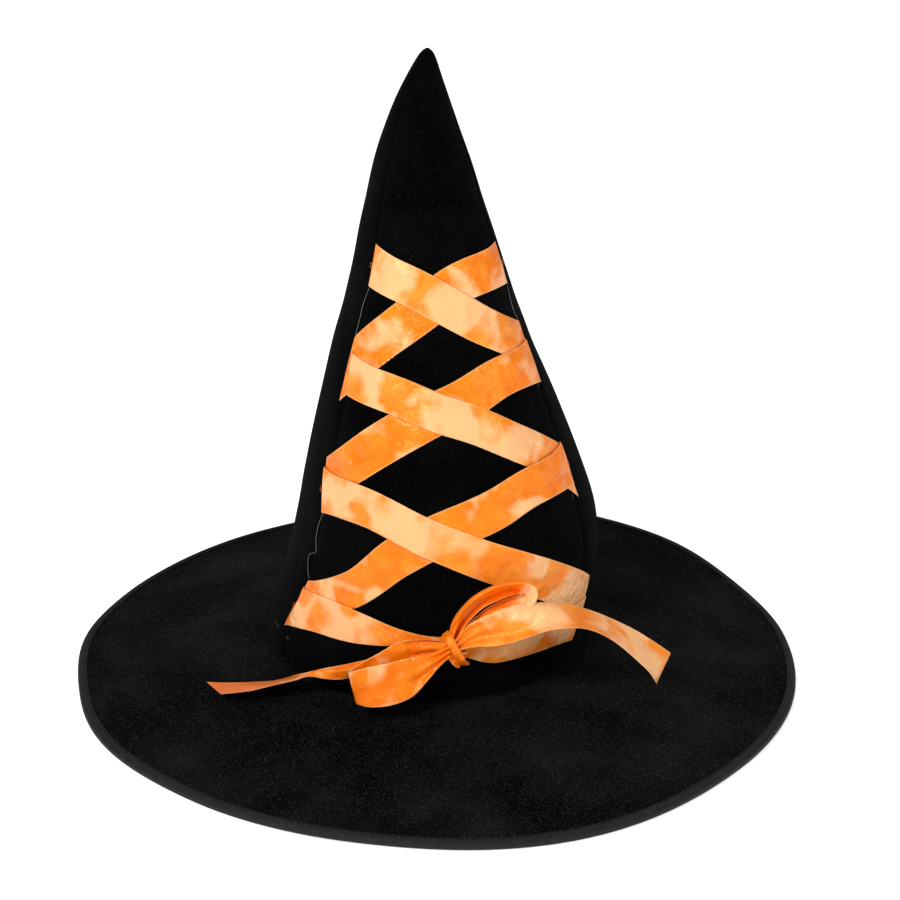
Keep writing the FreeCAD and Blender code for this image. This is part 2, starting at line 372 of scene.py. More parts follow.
for a, b in (
    (where.outputs["Object"], patches.inputs["Vector"]),
    (given.outputs["Patch Size"], patches.inputs["Scale"]),
    (where.outputs["Object"], specks.inputs["Vector"]),
    (where.outputs["Object"], fibres.inputs["Vector"]),
    (patches.outputs["Fac"], spread.inputs["Value"]),
    (specks.outputs["Fac"], bright.inputs["Value"]),
    (bright.outputs["Result"], more.inputs[0]),
    (given.outputs["Speck"], more.inputs[1]),
    (spread.outputs["Result"], faint.inputs[0]),
    (faint.outputs["Value"], total.inputs[0]),
    (more.outputs["Value"], total.inputs[1]),
    (total.outputs["Value"], blend.inputs["Factor"]),
    (given.outputs["Dark"], blend.inputs[6]),
    (given.outputs["Light"], blend.inputs[7]),
    (blend.outputs[2], result.inputs["Colour"]),
    (specks.outputs["Fac"], relief.inputs[0]),
    (fibres.outputs["Distance"], relief.inputs[1]),
    (relief.outputs["Value"], result.inputs["Height"]),
):
    pile.links.new(a, b)


def velvet(name, dark, light, patch_size, speck):
    """Short black pile: soft lighter patches of painted sheen where it is brushed, and fine bright
    specks of painted glints at the fibre ends.
    """
    material = new_material(name, {
        "Roughness": 0.95,
        "Specular IOR Level": 0.02,
        "Sheen Weight": 0.012,
        "Sheen Roughness": 0.45,
        "Sheen Tint": (0.80, 0.84, 0.88, 1),
    })
    tree = material.node_tree
    cloth = add_node(tree, "Group")
    cloth.node_tree = pile
    cloth.inputs["Dark"].default_value = dark
    cloth.inputs["Light"].default_value = light
    cloth.inputs["Patch Size"].default_value = patch_size
    cloth.inputs["Speck"].default_value = speck
    tree.links.new(cloth.outputs["Colour"], tree.nodes["Principled BSDF"].inputs["Base Color"])
    add_bump(material, cloth.outputs["Height"], 0.55, 0.0006)
    return material


# The crown's copy of the velour is painted darker than the brim's: painted shade
crown_velvet = velvet(
    "crown_velour", (0.0005, 0.0005, 0.0005, 1), (0.0085, 0.0085, 0.0088, 1), patch_size=26, speck=0.6,
)
for piece, node, turn in (
    (crown_front, "crown_front_velour", right_seam_angle - left_seam_angle),
    (crown_back, "crown_back_velour", 360 - right_seam_angle + left_seam_angle),
):
    thicken(piece, velour)
    piece.data.materials.append(crown_velvet)
    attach(piece, "hat")
    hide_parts(node)


# ---- Crown lining -----------------------------------------------------------------------
# The foam backing of the crown panels, 2.2 mm of grey foam with a brushed face, which gives
# the crown its stiffness and is bare inside the hat.
foam = 2.2
lining_gap = 0.3              # keeps the foam's face clear of the velour's back


def two_tones(material, value, dark, light, low, high):
    """Colours a surface from dark to light, as a value goes from low to high."""
    tree = material.node_tree
    tones = add_node(tree, "ValToRGB")
    start, end = tones.color_ramp.elements
    start.color = dark
    start.position = low
    end.color = light
    end.position = high
    tree.links.new(value, tones.inputs["Fac"])
    tree.links.new(tones.outputs["Color"], tree.nodes["Principled BSDF"].inputs["Base Color"])


def plain_cloth(name, dark, light, scale):
    """A dull cloth or foam face: fine grain in two close colours."""
    material = new_material(name, {"Roughness": 0.95})
    tree = material.node_tree
    where = add_node(tree, "TexCoord")
    grain = add_node(tree, "TexNoise", {"Scale": scale, "Detail": 4, "Roughness": 0.7})
    tree.links.new(where.outputs["Object"], grain.inputs["Vector"])
    two_tones(material, grain.outputs["Fac"], dark, light, 0.35, 0.68)
    add_bump(material, grain.outputs["Fac"], 0.6, 0.0004)
    return material


foam_face = plain_cloth("foam_face", (0.018, 0.018, 0.019, 1), (0.045, 0.045, 0.047, 1), 900)
pick(crown_lining)
bpy.ops.object.mode_set(mode="EDIT")
bpy.ops.mesh.select_all(action="SELECT")
bpy.ops.transform.shrink_fatten(value=-(velour + lining_gap) * mm)
bpy.ops.object.mode_set(mode="OBJECT")
lining_top = seam_height + 0.93 * crown_height
keep_faces(crown_lining, lambda face: seam_height < face.center.z / mm < lining_top)
thicken(crown_lining, foam, levels=0)
crown_lining.data.materials.append(foam_face)
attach(crown_lining, "hat")
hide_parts("crown_front_foam", "crown_back_foam")


# ---- Brim -------------------------------------------------------------------------------
# Two discs of velour with foam between them, cut as a wide ring and sewn to the crown. The
# seam stands up in a soft ridge, and the edge waves by a few millimetres.
edge_top = 4.4
brim_radius = 207.5
hole_radius = 91.6
crown_middle = between(crown_profile, 0, 1)
tuck_in = 3.4                 # how far the brim's inner edge goes in under the crown
tuck_up = 2.4                 # and how far it stands up there
edge_cover = 2.3              # from the cloth's edge to the outside of the binding
laminate = 3.8
brim_rise = seam_height - edge_top
brim_profile = (              # share of the way out, share of the rise
    (0.000, 0.90),
    (0.014, 0.97),
    (0.035, 1.02),
    (0.090, 1.06),
    (0.200, 0.95),
    (0.350, 0.76),
    (0.500, 0.54),
    (0.650, 0.34),
    (0.800, 0.16),
    (0.920, 0.03),
    (1.000, 0.00),
)
brim_waves = (                # angle from the front, half width, outward, upward
    (150, 38, 0.0, 1.2),
    (117, 22, -3.6, 0.0),
    (-150, 42, -9.5, 0.0),
    (-118, 26, -3.6, 0.0),
    (-92, 20, 2.0, 0.0),
    (-62, 24, 3.4, 0.0),
    (-18, 26, 0.0, 0.6),
    (20, 32, 5.0, 0.0),
    (100, 34, -3.4, 0.0),
)
brim_slip = 3.0               # the edge lies about this far forward of the crown


def wave(point):
    """Where the wavy brim carries a point of the plain one."""
    angle = math.degrees(math.atan2(point.x, -point.y))
    out = min(max((math.hypot(point.x, point.y) - hole_radius) / (brim_radius - hole_radius), 0.0), 1.0)
    flat = Vector((point.x, point.y, 0)).normalized()
    moved = point.copy()
    for middle, half_width, outwards, upwards in brim_waves:
        away = abs((angle - middle + 180) % 360 - 180) / half_width
        if away < 1:
            swell = (0.5 + 0.5 * math.cos(math.pi * away)) * out * out
            moved += flat * outwards * swell + Vector((0, 0, upwards * swell))
    moved.y -= (brim_slip + 1.7 * point.y / brim_radius) * out * out
    soft = 0.55 * noise.noise(Vector((point.x, point.y, 0)) / 38) * min(1.0, 4 * (1 - out))
    return moved + Vector((0, 0, soft))


def brim_rings(lower, shares):
    """The brim's circles, from the crown out, some way below its top face."""
    tucked = edge_top + brim_rise * between(brim_profile, 0, 1) - lower + tuck_up
    rings = [(hole_radius - tuck_in, crown_middle, tucked)]
    for share in shares:
        radius = hole_radius + (brim_radius - edge_cover - hole_radius) * share
        height = edge_top + brim_rise * between(brim_profile, share, 1) - lower
        rings.append((radius, crown_middle * (1 - share), height))
    return rings


fine_shares = [0, 0.007, 0.014, 0.024, 0.035, 0.055] + [0.08 + 0.92 * k / 22 for k in range(23)]
plain_shares = [k / 24 for k in range(25)]
brim_top = shell("velour_brim_top", brim_rings(0.0, fine_shares), sides)
brim_core = shell("brim_core", brim_rings(velour + 0.1, plain_shares), sides)
brim_under = shell("brim_under", brim_rings(laminate - velour, plain_shares), sides)
# The brim's copy of the same velour is painted lighter, with more bright specks: painted light on its
# upturned face
brim_velvet = velvet(
    "brim_velour", (0.0008, 0.0008, 0.0008, 1), (0.031, 0.032, 0.033, 1), patch_size=19, speck=0.85,
)
under_cloth = plain_cloth("under_velour", (0.004, 0.004, 0.005, 1), (0.016, 0.016, 0.018, 1), 700)
for piece, node, thickness, material, slot, levels in (
    (brim_top, "brim_top_velour", velour, brim_velvet, "black_velour", 1),
    (brim_core, "brim_foam", foam - 0.2, foam_face, "foam_backing", 0),
    (brim_under, "brim_under_velour", velour, under_cloth, "under_cloth", 1),
):
    reshape(piece, wave)
    face_outwards(piece)
    if piece.data.polygons[len(piece.data.polygons) // 2].normal.z < 0:
        face_outwards(piece, inside=True)
    thicken(piece, thickness, levels=levels)
    piece.data.materials.append(material)
    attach(piece, "hat")
    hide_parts(node)


# ---- Edge wire --------------------------------------------------------------------------
# A ring of 1.4 mm spring wire that lies inside the binding and keeps the brim spread.
wire_radius = 0.7
wire_inset = 1.45             # its middle, in from the edge
wire_height = 2.5
bpy.ops.object.select_all(action="DESELECT")
bpy.ops.mesh.primitive_torus_add(
    major_segments=240, minor_segments=10,
    major_radius=(brim_radius - wire_inset) * mm, minor_radius=wire_radius * mm,
    location=(0, 0, wire_height * mm),
)
edge_wire = bpy.context.object
name_piece(edge_wire, "spring_wire")
bpy.ops.object.transform_apply(location=True, rotation=True, scale=True)
reshape(edge_wire, wave)
bpy.ops.object.shade_smooth()
edge_wire.data.materials.append(new_material("spring_steel", {
    "Base Color": (0.42, 0.42, 0.43, 1),
    "Metallic": 1.0,
    "Roughness": 0.35,
}))
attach(edge_wire, "hat")
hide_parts("brim_wire")


# ---- Edge binding -----------------------------------------------------------------------
# A black woven tape, 16 mm wide, folded over the brim's edge and the wire in it, and sewn
# through near its inner edges. The lap of its two ends is left out.
binding_cloth = 0.48
binding_section = (           # distance in from the edge, height
    (5.3, 4.85),
    (5.0, 5.20),
    (3.6, 5.30),
    (1.8, 5.10),
    (0.7, 4.60),
    (0.1, 3.70),
    (0.0, 2.60),
    (0.1, 1.50),
    (0.7, 0.60),
    (2.0, 0.12),
    (4.0, 0.08),
    (5.5, 0.08),
)
binding_rings = [(brim_radius - inwards, 0, height) for inwards, height in binding_section]
binding = shell("edge_binding", binding_rings, 240)


def binding_place(point):
    """The tape follows the brim's waves, and its sewn edge on top wanders a little."""
    moved = wave(point)
    if point.z > 4.9 and point.x**2 + point.y**2 < (brim_radius - 3) ** 2:
        angle = math.degrees(math.atan2(point.x, -point.y))
        flat = Vector((point.x, point.y, 0)).normalized()
        moved += flat * 0.5 * noise.noise(Vector((angle / 3, 0, 0)))
    return moved


reshape(binding, binding_place)
face_outwards(binding)
outer_face = binding.data.polygons[len(binding.data.polygons) // 2]
if outer_face.normal.dot(outer_face.center) < 0:
    face_outwards(binding, inside=True)
thicken(binding, binding_cloth)


def woven_tape(name, dark, light, rib_scale, depth):
    """A narrow woven tape: fine ribs across it and a little dull wear."""
    material = new_material(name, {"Roughness": 0.7, "Specular IOR Level": 0.25})
    tree = material.node_tree
    where = add_node(tree, "TexCoord")
    grain = add_node(tree, "TexNoise", {"Scale": 320, "Detail": 5})
    ribs = add_node(tree, "TexVoronoi", {"Scale": rib_scale})
    tree.links.new(where.outputs["Object"], grain.inputs["Vector"])
    tree.links.new(where.outputs["Object"], ribs.inputs["Vector"])
    two_tones(material, grain.outputs["Fac"], dark, light, 0.3, 0.75)
    add_bump(material, ribs.outputs["Distance"], 0.5, depth)
    return material


tape = woven_tape("binding_tape", (0.0045, 0.0045, 0.005, 1), (0.013, 0.013, 0.014, 1), 1400, 0.0003)
binding.data.materials.append(tape)
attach(binding, "hat")
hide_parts("brim_binding")


# ---- Sweatband --------------------------------------------------------------------------
# A flat black grosgrain tape sewn inside the head opening, where it rests on the forehead.
# It stands a millimetre and a half below the brim seam and ripples a little.
band_low, band_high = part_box("sweatband")
band_radius = band_high.y / mm
band_rows = 9
band_thickness = 0.8


def band_place(point):
    """Ripples of a third of a millimetre."""
    angle = math.degrees(math.atan2(point.x - crown_middle, -point.y))
    flat = Vector((point.x - crown_middle, point.y, 0)).normalized()
    return point + flat * 0.35 * noise.noise(Vector((angle / 11, point.z / 14, 0)))


band_rings = []
for k in range(band_rows):
    height = (band_low.z + (band_high.z - band_low.z) * k / (band_rows - 1)) / mm
    band_rings.append((band_radius, crown_middle, height))
sweatband = shell("head_band", band_rings, sides)
reshape(sweatband, band_place)
face_outwards(sweatband)
thicken(sweatband, band_thickness)
grosgrain = woven_tape("grosgrain", (0.008, 0.008, 0.009, 1), (0.022, 0.022, 0.024, 1), 900, 0.0004)
sweatband.data.materials.append(grosgrain)
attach(sweatband, "hat")
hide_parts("sweatband")


# ---- Seam allowances --------------------------------------------------------------------
# Inside the crown the two panels' raw edges stand up along each side seam as a narrow ridge
# of velour and foam.
allowance_width = 7.0
allowance_depth = 3.4
allowance_skin = 0.9


def flat_grid(name, steps, rows):
    """A flat grid one unit long and one wide, to be laid on the hat."""
    bpy.ops.object.select_all(action="DESELECT")
    bpy.ops.mesh.primitive_grid_add(x_subdivisions=steps, y_subdivisions=rows, size=1)
    piece = bpy.context.object
    name_piece(piece, name)
    return piece


for name, node, plain in (
    ("left_allowance", "crown_seam_left", left_seam_angle),
    ("right_allowance", "crown_seam_right", right_seam_angle),
):
    low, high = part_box(node)
    ridge = flat_grid(name, 90, 8)
    for vertex in ridge.data.vertices:
        along = vertex.co.x + 0.5
        across = vertex.co.y * 2
        height = (low.z + (high.z - low.z) * along) / mm
        share = (height - seam_height) / crown_height
        radius = between(crown_profile, share, 2)
        angle = plain + seam_turn * share + math.degrees(across * allowance_width / 2 / radius)
        depth = velour + foam + 0.2 + allowance_depth * (1 - across**4) * min(1.0, radius / 30)
        rough = 0.25 * noise.noise(Vector((height / 5, across, 0)))
        vertex.co = crown_point(angle, height, -depth - rough) * mm
    thicken(ridge, allowance_skin)
    face_outwards(ridge)
    ridge.data.materials.append(foam_face)
    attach(ridge, "hat")
    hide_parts(node)


# ---- Laced ribbons ----------------------------------------------------------------------
# Orange polyester satin ribbon, 22 mm wide, crossed over the crown's front in eight
# stretches. Each is folded over the next one at a side seam and tacked there.
ribbon_width = 22.0
ribbon_thickness = 0.35
edge_blend = 18.0             # how far from a fold a stretch takes up the fold's slant


def spline(rows, share):
    """A smooth row of numbers between the rows, evenly numbered from 0 to 1."""
    at = min(max(share, 0.0), 1.0) * (len(rows) - 1)
    i = min(int(at), len(rows) - 2)
    u = at - i
    first, second, third, fourth = (rows[min(max(i + k, 0), len(rows) - 1)] for k in (-1, 0, 1, 2))
    row = []
    for a, b, c, d in zip(first, second, third, fourth):
        bend = 2 * a - 5 * b + 4 * c - d + u * (3 * (b - c) + d - a)
        row.append(b + 0.5 * u * (c - a + u * bend))
    return row


def ease(share):
    """From 0 to 1 and flat at both ends."""
    share = min(max(share, 0.0), 1.0)
    return share * share * (3 - 2 * share)


def ribbon(name, length, width, place, step=1.8):
    """A satin ribbon, laid where the function puts each point of its length and width."""
    piece = flat_grid(name, max(8, round(length / step)), 14)
    flat = [vertex.co.copy() for vertex in piece.data.vertices]
    cloth_map = piece.data.uv_layers.active
    for loop in piece.data.loops:
        point = flat[loop.vertex_index]
        cloth_map.data[loop.index].uv = ((point.x + 0.5) * length * mm, point.y * width * mm)
    for vertex, point in zip(piece.data.vertices, flat):
        vertex.co = place(point.x + 0.5, point.y * 2) * mm
    thicken(piece, ribbon_thickness, offset=0.0)
    return piece


def centre_length(place):
    """The length of a ribbon's middle line, in millimetres."""
    line = [place(k / 60, 0.0) for k in range(61)]
    return sum((b - a).length for a, b in zip(line, line[1:]))


# The satin's colour: blotches of painted sheen, pale patches of painted highlight and painted glints on
# the selvedge's beads; the threads and puckers also give its roughness and bump
weave, given, result = new_group("satin_weave", (
    ("Colour", "INPUT", "Color"),
    ("Deep", "INPUT", "Color"),
    ("Shine", "INPUT", "Float"),
    ("Colour", "OUTPUT", "Color"),
    ("Roughness", "OUTPUT", "Float"),
    ("Height", "OUTPUT", "Float"),
))
bead_pitch = 0.0012           # metres, as are the selvedge's places below
where = add_node(weave, "TexCoord")
apart = add_node(weave, "SeparateXYZ")
clouds = add_node(weave, "TexNoise", {"Scale": 95, "Detail": 3})
threads = add_node(weave, "TexNoise", {"Scale": 1, "Detail": 2})
stretch = add_node(weave, "Mapping", {"Scale": (260, 2600, 1)})
beads = add_math(weave, "SINE")
pitch = add_math(weave, "MULTIPLY", {1: 2 * math.pi / bead_pitch})
side = add_math(weave, "ABSOLUTE")
selvedge = add_node(weave, "MapRange", {"From Min": 0.0101, "From Max": 0.0105})
beaded = add_math(weave, "MULTIPLY")
# Blotches of painted sheen, from the deep orange to the brighter one
tone = add_node(weave, "MapRange", {"From Min": 0.38, "From Max": 0.66})
painted_sheen_mix = add_colour_mix(weave)
# Painted glints on the selvedge's beads, in a pale peach
edge_glint_mix = add_colour_mix(weave, {7: (1.0, 0.60, 0.26, 1)})
dots = add_node(weave, "MapRange", {"From Min": -0.6, "From Max": 0.8, "To Max": 0.9})
edge_part = add_math(weave, "MULTIPLY")
gloss = add_node(weave, "MapRange", {"To Min": 0.24, "To Max": 0.36})
puckers = add_node(weave, "TexNoise", {"Scale": 42, "Detail": 4, "Roughness": 0.4, "Distortion": 0.35})
caught = add_math(weave, "ADD")
# Pale patches of painted highlight, more of them as Shine goes up
painted_highlight_mask = add_node(weave, "MapRange", {"From Min": 0.59, "From Max": 0.69, "To Max": 0.85})
rumple = add_math(weave, "ADD")
# Mixes in the peach of the painted highlight
painted_highlight_mix = add_colour_mix(weave, {7: (1.0, 0.54, 0.25, 1)})
fine = add_math(weave, "MULTIPLY_ADD", {1: 0.05})
bead_height = add_math(weave, "MULTIPLY_ADD", {1: 0.06})
for a, b in (
    (where.outputs["UV"], apart.inputs["Vector"]),
    (where.outputs["UV"], stretch.inputs["Vector"]),
    (where.outputs["Object"], clouds.inputs["Vector"]),
    (stretch.outputs["Vector"], threads.inputs["Vector"]),
    (apart.outputs["X"], pitch.inputs[0]),
    (pitch.outputs["Value"], beads.inputs[0]),
    (apart.outputs["Y"], side.inputs[0]),
    (side.outputs["Value"], selvedge.inputs["Value"]),
    (beads.outputs["Value"], beaded.inputs[0]),
    (selvedge.outputs["Result"], beaded.inputs[1]),
    (clouds.outputs["Fac"], tone.inputs["Value"]),
    (tone.outputs["Result"], painted_sheen_mix.inputs["Factor"]),
    (given.outputs["Deep"], painted_sheen_mix.inputs[6]),
    (given.outputs["Colour"], painted_sheen_mix.inputs[7]),
    (where.outputs["Object"], puckers.inputs["Vector"]),
    (puckers.outputs["Fac"], caught.inputs[0]),
    (given.outputs["Shine"], caught.inputs[1]),
    (caught.outputs["Value"], painted_highlight_mask.inputs["Value"]),
    (painted_highlight_mask.outputs["Result"], painted_highlight_mix.inputs["Factor"]),
    (painted_sheen_mix.outputs[2], painted_highlight_mix.inputs[6]),
    (beads.outputs["Value"], dots.inputs["Value"]),
    (dots.outputs["Result"], edge_part.inputs[1]),
    (selvedge.outputs["Result"], edge_part.inputs[0]),
    (edge_part.outputs["Value"], edge_glint_mix.inputs["Factor"]),
    (painted_highlight_mix.outputs[2], edge_glint_mix.inputs[6]),
    (edge_glint_mix.outputs[2], result.inputs["Colour"]),
    (threads.outputs["Fac"], gloss.inputs["Value"]),
    (gloss.outputs["Result"], result.inputs["Roughness"]),
    (threads.outputs["Fac"], fine.inputs[0]),
    (clouds.outputs["Fac"], rumple.inputs[0]),
    (puckers.outputs["Fac"], rumple.inputs[1]),
    (rumple.outputs["Value"], fine.inputs[2]),
    (beaded.outputs["Value"], bead_height.inputs[0]),
    (fine.outputs["Value"], bead_height.inputs[2]),
    (bead_height.outputs["Value"], result.inputs["Height"]),
):
    weave.links.new(a, b)


def satin(name, base, deep, shine):
    """Polyester satin: long floats with blotches of painted sheen and pale patches of painted
    highlight, and a tight edge with painted glints.
    """
    material = new_material(name, {
        "Specular IOR Level": 0.7,
        "Specular Tint": (1.0, 0.72, 0.30, 1),
    })
    tree = material.node_tree
    shader = tree.nodes["Principled BSDF"]
    cloth = add_node(tree, "Group")
    cloth.node_tree = weave
    cloth.inputs["Colour"].default_value = base
    cloth.inputs["Deep"].default_value = deep
    cloth.inputs["Shine"].default_value = shine
    tree.links.new(cloth.outputs["Colour"], shader.inputs["Base Color"])
    tree.links.new(cloth.outputs["Roughness"], shader.inputs["Roughness"])
    add_bump(material, cloth.outputs["Height"], 1.0, 0.0024)
    return material


# One ribbon's satin in three copies with painted light: a plain one, a paler one with more painted
# highlight, and a deeper one for the bow with less
orange_satin = satin("orange_satin", (1.0, 0.25, 0.008, 1), (0.93, 0.18, 0.002, 1), 0.05)
highlight_painted_satin = satin("orange_satin_painted_highlights", (1.0, 0.30, 0.025, 1), (0.97, 0.21, 0.008, 1), 0.15)
bow_satin = satin("orange_satin_bow", (1.0, 0.23, 0.006, 1), (0.94, 0.17, 0.001, 1), 0.03)

# The stretches that run down to the right face the light, and take the paler copy with painted
# highlights
painted_highlight_laces = ("lace_1", "lace_3", "lace_5", "lace_7", "lace_8")

# name, node, line of its middle, fold at its start and end as (top, bottom), lifts and half widths.
# Places on the crown are an angle from the front and a height.
laces = (
    ("lace_1", "left_ribbon_1", ((-46, 247), (-12, 240), (13, 230), (37.5, 217), (70, 200)),
     ((-45.5, 259), (-47, 236)), ((73, 212), (69, 179)),
     ((0, 0.7), (0.3, 1.5), (0.6, 1.5), (0.82, 0.5), (1, 0.4)), (11, 11)),
    ("lace_2", "right_ribbon_1", ((75, 243.5), (34, 242.5), (9, 235), (-18, 220), (-47, 199)),
     ((75, 255), (74.5, 231.5)), ((-51.5, 208.5), (-56.5, 172)),
     ((0, 0.6), (0.5, 0.5), (1, 0.4)), (11, 11)),
    ("lace_3", "right_ribbon_2", ((-52, 188.5), (-20, 184), (2.5, 176), (25.5, 165), (64, 136)),
     ((-50.5, 201), (-50, 177.5)), ((65.5, 145), (68, 113)),
     ((0, 1.6), (0.2, 1.4), (0.45, 1.5), (0.6, 1.4), (0.8, 0.5), (1, 0.4)), (11, 11)),
    ("lace_4", "left_ribbon_2",
     ((69, 190), (39, 190), (13, 181), (-7, 172), (-29.5, 155.5), (-56, 129)),
     ((71, 201.5), (69, 178)), ((-58.5, 141), (-56.5, 112.5)),
     ((0, 1.6), (0.2, 1.4), (0.38, 0.5), (1, 0.4)), (11, 11)),
    ("lace_5", "left_ribbon_3", ((-57, 123), (-30, 123), (-5, 111), (16, 98), (36.5, 83), (64, 58)),
     ((-58.5, 135.5), (-55, 110.5)), ((67, 67), (62, 44)),
     ((0, 1.6), (0.2, 1.4), (0.45, 1.5), (0.65, 1.3), (0.85, 0.5), (1, 0.4)), (11, 11)),
    ("lace_6", "right_ribbon_3",
     ((66, 133), (39, 132), (19, 124), (-1.5, 114), (-19, 99), (-35, 77), (-57, 58)),
     ((66, 146), (66, 121)), ((-57.5, 71), (-66, 36.5)),
     ((0, 1.6), (0.2, 1.4), (0.38, 0.5), (1, 0.4)), (11, 11)),
    ("lace_7", "right_ribbon_4", ((-60, 53), (-46, 57), (-31, 57.5), (-17, 57), (-7, 57), (1, 57)),
     ((-59, 66), (-62, 40)), None,
     ((0, 1.6), (0.3, 1.5), (0.6, 3.0), (1, 6.0)), (11, 11, 9.5, 6.0, 3.5, 2.5)),
    ("lace_8", "left_ribbon_4", ((62, 44), (48, 48), (34, 49.5), (22, 49.5), (13, 51), (7, 54)),
     ((64, 57), (60, 32)), None,
     ((0, 1.6), (0.4, 1.5), (0.7, 3.5), (1, 6.0)), (11, 11, 11, 10, 6, 3)),
)


def laced(line, start, end, lifts, halves, seed):
    """A function that lays a stretch of ribbon on the crown."""
    def on_line(share):
        angle, height = spline(line, share)
        return angle, height, crown_point(angle, height)

    length = sum((on_line((k + 1) / 30)[2] - on_line(k / 30)[2]).length for k in range(30))

    def place(share, across):
        angle, height, here = on_line(share)
        ahead = on_line(min(share + 0.02, 1.0))[2]
        behind = on_line(max(share - 0.02, 0.0))[2]
        run = (ahead - behind).normalized()
        turned = crown_point(angle + 1, height) - here
        raised = crown_point(angle, height + 1) - here
        up = turned.cross(raised).cross(run).normalized()
        if up.z < 0:
            up = -up
        offset = across * spline([(half,) for half in halves], share)[0]
        angle += offset * up.dot(turned) / turned.length_squared
        height += offset * up.dot(raised) / raised.length_squared
        lift = between(lifts, share, 1)
        for fold, away in ((start, share * length), (end, (1 - share) * length)):
            if fold:
                part = 1 - ease(away / edge_blend)
                (top_angle, top_height), (low_angle, low_height) = fold
                mix = 0.5 + 0.5 * across
                angle += part * (low_angle + (top_angle - low_angle) * mix - angle)
                height += part * (low_height + (top_height - low_height) * mix - height)
                lift = 0.15 + (lift - 0.15) * ease(0.25 + away / 1.6)
        at = Vector((share * length, offset, seed * 50))
        loose = 0.70 * noise.noise(at / 13) + 0.38 * noise.noise(at / 6.5)
        loose = (loose + 0.35) * (0.3 + 0.7 * (1 - across * across))
        loose *= ease(share * length / 6) * ease((1 - share) * length / 6)
        return crown_point(angle, height, lift + max(loose, -0.2))

    return place


for k, (name, node, line, start, end, lifts, halves) in enumerate(laces):
    place = laced(line, start, end, lifts, halves, k + 1)
    length = centre_length(place)
    piece = ribbon(name, length, ribbon_width, place)
    piece.data.materials.append(highlight_painted_satin if name in painted_highlight_laces else orange_satin)
    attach(piece, "hat")
    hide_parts(node)


# ---- Bow --------------------------------------------------------------------------------
# The two ribbons' free ends, tied in a bow at the foot of the crown, right of the middle:
# a wide loop and a long tail on each side, gathered where the knot holds them.

